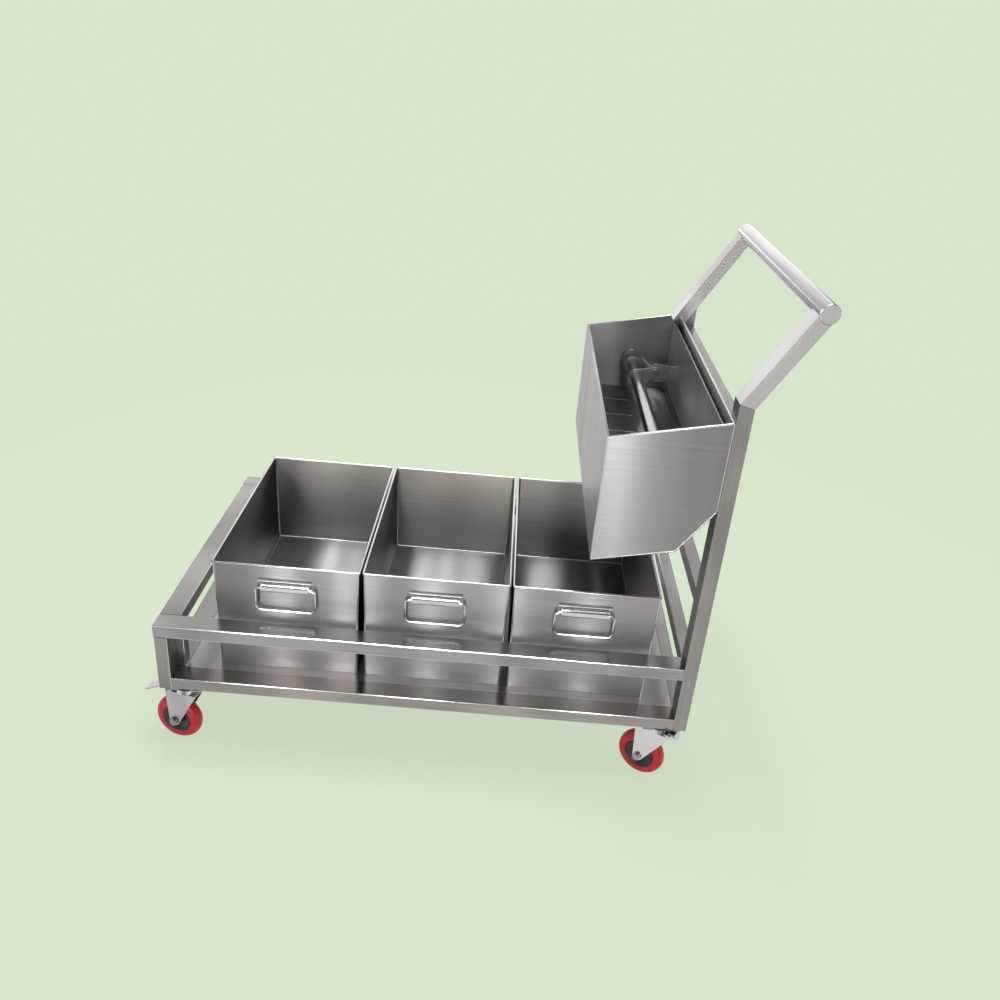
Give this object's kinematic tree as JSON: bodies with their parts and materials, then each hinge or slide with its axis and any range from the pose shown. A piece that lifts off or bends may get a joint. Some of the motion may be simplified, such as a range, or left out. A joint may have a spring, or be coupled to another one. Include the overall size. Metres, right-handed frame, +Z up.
{
  "type": "mop trolley",
  "caption": "Stainless steel mop trolley: box-tube platform on braked swivel casters, lift-out bins with bail handles, and a press wringer hopper under a push bar",
  "frame": {"origin": "on the floor under the middle of the trolley's bounding box", "axes": "+X along the platform to the push bar, +Y away from the side where the bins show their handles, +Z up"},
  "size_m": [1.1382, 0.6688, 0.9615],
  "materials": {
    "frame_steel": "brushed",
    "sheet_steel": "brushed",
    "polished_steel": "polished",
    "zinc_steel": "satin",
    "tyre_red": "satin",
    "hub_black": "matte"
  },
  "bodies": {
    "frame": {"front_upper_rail": "frame_steel", "back_upper_rail": "frame_steel", "left_upper_rail": "frame_steel", "right_upper_rail": "frame_steel", "front_lower_rail": "frame_steel", "back_lower_rail": "frame_steel", "left_lower_rail": "frame_steel", "right_lower_rail": "frame_steel", "left_front_post": "frame_steel", "left_back_post": "frame_steel", "left_front_side_post": "frame_steel", "left_back_side_post": "frame_steel", "front_upright": "frame_steel", "back_upright": "frame_steel", "front_arm": "frame_steel", "back_arm": "frame_steel", "rim_cross_tube": "frame_steel", "middle_cross_tube": "frame_steel", "push_bar": "polished_steel", "deck_sheet": "sheet_steel", "hopper": "sheet_steel", "front_left_caster_plate": "zinc_steel", "front_right_caster_plate": "zinc_steel", "back_left_caster_plate": "zinc_steel", "back_right_caster_plate": "zinc_steel"},
    "front_left_swivel": {"front_left_caster_fork": "zinc_steel", "front_left_caster_axle": "zinc_steel"},
    "front_left_wheel": {"front_left_caster_hub": "hub_black", "front_left_caster_tyre": "tyre_red"},
    "front_left_pedal": {"front_left_caster_brake_pedal": "zinc_steel"},
    "front_right_swivel": {"front_right_caster_fork": "zinc_steel", "front_right_caster_axle": "zinc_steel"},
    "front_right_wheel": {"front_right_caster_hub": "hub_black", "front_right_caster_tyre": "tyre_red"},
    "front_right_pedal": {"front_right_caster_brake_pedal": "zinc_steel"},
    "back_left_swivel": {"back_left_caster_fork": "zinc_steel", "back_left_caster_axle": "zinc_steel"},
    "back_left_wheel": {"back_left_caster_hub": "hub_black", "back_left_caster_tyre": "tyre_red"},
    "back_left_pedal": {"back_left_caster_brake_pedal": "zinc_steel"},
    "back_right_swivel": {"back_right_caster_fork": "zinc_steel", "back_right_caster_axle": "zinc_steel"},
    "back_right_wheel": {"back_right_caster_hub": "hub_black", "back_right_caster_tyre": "tyre_red"},
    "back_right_pedal": {"back_right_caster_brake_pedal": "zinc_steel"},
    "bin_1": {"bin_1": "sheet_steel", "bin_1_handle_bracket": "polished_steel"},
    "bin_1_bail": {"bin_1_bail": "polished_steel"},
    "bin_2": {"bin_2": "sheet_steel", "bin_2_handle_bracket": "polished_steel"},
    "bin_2_bail": {"bin_2_bail": "polished_steel"},
    "bin_3": {"bin_3": "sheet_steel", "bin_3_handle_bracket": "polished_steel"},
    "bin_3_bail": {"bin_3_bail": "polished_steel"},
    "wringer_shaft": {"wringer_shaft": "polished_steel", "near_crank_arm": "sheet_steel", "far_crank_arm": "sheet_steel", "crank_pin": "zinc_steel"},
    "wringer_link": {"link_plate": "sheet_steel"},
    "wringer_press": {"press_plate": "sheet_steel"}
  },
  "joints": [
    {"name": "front_left_swivel_turn", "type": "hinge", "parent": "frame", "child": "front_left_swivel", "pos_m": [-0.47973, -0.30161, 0.131], "axis": [0, 0, 1], "continuous": true},
    {"name": "front_left_wheel_spin", "type": "hinge", "parent": "front_left_swivel", "child": "front_left_wheel", "pos_m": [-0.50302, -0.29581, 0.047], "axis": [0.2419, 0.9703, 0], "continuous": true},
    {"name": "front_left_pedal_press", "type": "hinge", "parent": "front_left_swivel", "child": "front_left_pedal", "pos_m": [-0.50593, -0.29508, 0.123], "axis": [-0.2419, -0.9703, 0], "range_deg": [0, 8]},
    {"name": "front_right_swivel_turn", "type": "hinge", "parent": "frame", "child": "front_right_swivel", "pos_m": [0.42427, -0.30161, 0.131], "axis": [0, 0, 1], "continuous": true},
    {"name": "front_right_wheel_spin", "type": "hinge", "parent": "front_right_swivel", "child": "front_right_wheel", "pos_m": [0.40392, -0.28889, 0.047], "axis": [0.5299, 0.848, 0], "continuous": true},
    {"name": "front_right_pedal_press", "type": "hinge", "parent": "front_right_swivel", "child": "front_right_pedal", "pos_m": [0.44717, -0.31592, 0.123], "axis": [0.5299, 0.848, 0], "range_deg": [0, 8]},
    {"name": "back_left_swivel_turn", "type": "hinge", "parent": "frame", "child": "back_left_swivel", "pos_m": [-0.47973, 0.28839, 0.131], "axis": [0, 0, 1], "continuous": true},
    {"name": "back_left_wheel_spin", "type": "hinge", "parent": "back_left_swivel", "child": "back_left_wheel", "pos_m": [-0.5035, 0.29173, 0.047], "axis": [0.1392, 0.9903, 0], "continuous": true},
    {"name": "back_left_pedal_press", "type": "hinge", "parent": "back_left_swivel", "child": "back_left_pedal", "pos_m": [-0.50647, 0.29215, 0.123], "axis": [-0.1392, -0.9903, 0], "range_deg": [0, 8]},
    {"name": "back_right_swivel_turn", "type": "hinge", "parent": "frame", "child": "back_right_swivel", "pos_m": [0.42427, 0.28839, 0.131], "axis": [0, 0, 1], "continuous": true},
    {"name": "back_right_wheel_spin", "type": "hinge", "parent": "back_right_swivel", "child": "back_right_wheel", "pos_m": [0.40235, 0.29815, 0.047], "axis": [0.4067, 0.9135, 0], "continuous": true},
    {"name": "back_right_pedal_press", "type": "hinge", "parent": "back_right_swivel", "child": "back_right_pedal", "pos_m": [0.44894, 0.27741, 0.123], "axis": [0.4067, 0.9135, 0], "range_deg": [0, 8]},
    {"name": "bin_1_lift", "type": "slide", "parent": "frame", "child": "bin_1", "axis": [0, 0, 1], "range_m": [0, 0.25]},
    {"name": "bin_1_bail_swing", "type": "hinge", "parent": "bin_1", "child": "bin_1_bail", "pos_m": [-0.29473, -0.27085, 0.3423], "axis": [-1, 0, 0], "range_deg": [0, 110]},
    {"name": "bin_2_lift", "type": "slide", "parent": "frame", "child": "bin_2", "axis": [0, 0, 1], "range_m": [0, 0.25]},
    {"name": "bin_2_bail_swing", "type": "hinge", "parent": "bin_2", "child": "bin_2_bail", "pos_m": [-0.01773, -0.27085, 0.3423], "axis": [-1, 0, 0], "range_deg": [0, 110]},
    {"name": "bin_3_lift", "type": "slide", "parent": "frame", "child": "bin_3", "axis": [0, 0, 1], "range_m": [0, 0.095]},
    {"name": "bin_3_bail_swing", "type": "hinge", "parent": "bin_3", "child": "bin_3_bail", "pos_m": [0.25927, -0.27085, 0.3423], "axis": [-1, 0, 0], "range_deg": [0, 110]},
    {"name": "wringer_shaft_turn", "type": "hinge", "parent": "frame", "child": "wringer_shaft", "pos_m": [0.35197, -0.00661, 0.652], "axis": [0, -1, 0], "range_deg": [0, 30]},
    {"name": "wringer_link_turn", "type": "hinge", "parent": "wringer_shaft", "child": "wringer_link", "pos_m": [0.39091, 0.17739, 0.66773], "axis": [0, -1, 0], "range_deg": [-63, 0]},
    {"name": "wringer_press_slide", "type": "slide", "parent": "frame", "child": "wringer_press", "axis": [-1, 0, 0], "range_m": [0, 0.0183]}
  ],
  "couplings": [
    {"joint": "wringer_link_turn", "follows": "wringer_shaft_turn", "ratio": -2.0953},
    {"joint": "wringer_press_slide", "follows": "wringer_shaft_turn", "m_per_rad": 0.034767}
  ]
}
